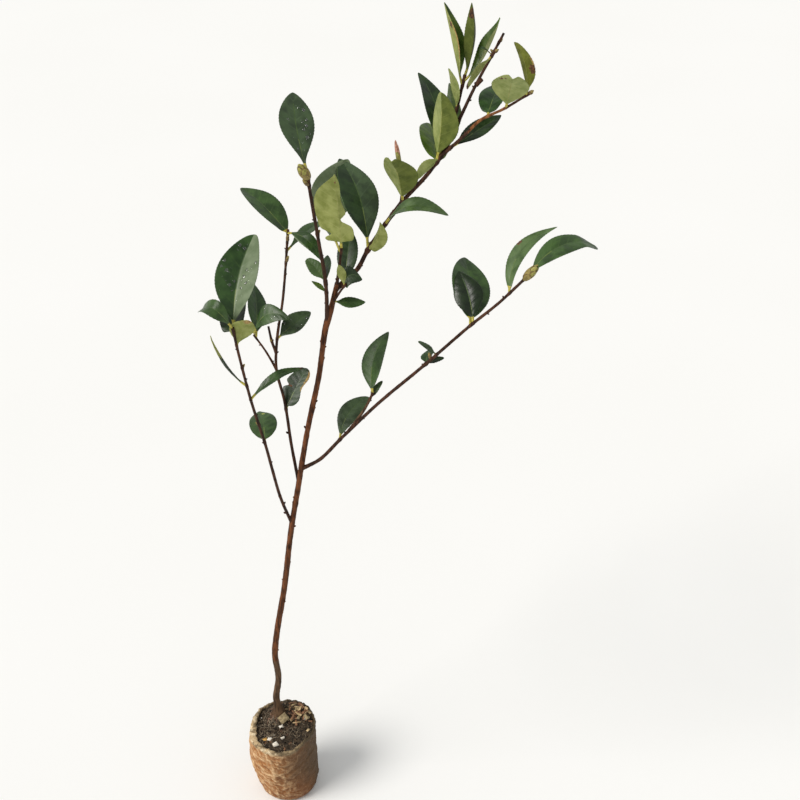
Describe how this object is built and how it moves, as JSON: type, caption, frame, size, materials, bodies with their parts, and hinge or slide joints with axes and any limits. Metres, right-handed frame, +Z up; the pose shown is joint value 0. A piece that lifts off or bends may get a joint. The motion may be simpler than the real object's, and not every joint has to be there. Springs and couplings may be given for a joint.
{
  "type": "oil-tea camellia seedling",
  "caption": "Young oil-tea camellia with a slim kinked stem, upswept leafy shoots and glossy oval leaves, standing on a root ball wrapped in a thin fabric bag.",
  "frame": {"origin": "centre of the root bag's flat underside", "axes": "+Z up along the plant, +X to the right and +Y to the back as the picture shows it"},
  "size_m": [0.2772, 0.141, 0.7259],
  "materials": {
    "bag_fabric": "thin matt nonwoven, soil-stained",
    "soil": "damp crumbly growing mix",
    "bark": "satin red-brown bark",
    "foliage": "leathery, glossy above and matt below"
  },
  "bodies": {
    "root": {"root_bag": "bag_fabric", "soil_plug": "soil", "main_stem": "bark", "bough_left_low": "bark", "bough_left_mid": "bark", "bough_left_top": "bark", "bough_right": "bark", "bough_leader": "bark", "foliage_left_low": "foliage", "foliage_left_mid": "foliage", "foliage_left_top": "foliage", "foliage_right": "foliage", "foliage_leader": "foliage", "foliage_middle": "foliage", "foliage_spur": "foliage", "foliage_top": "foliage", "foliage_top_right": "foliage"}
  },
  "joints": []
}
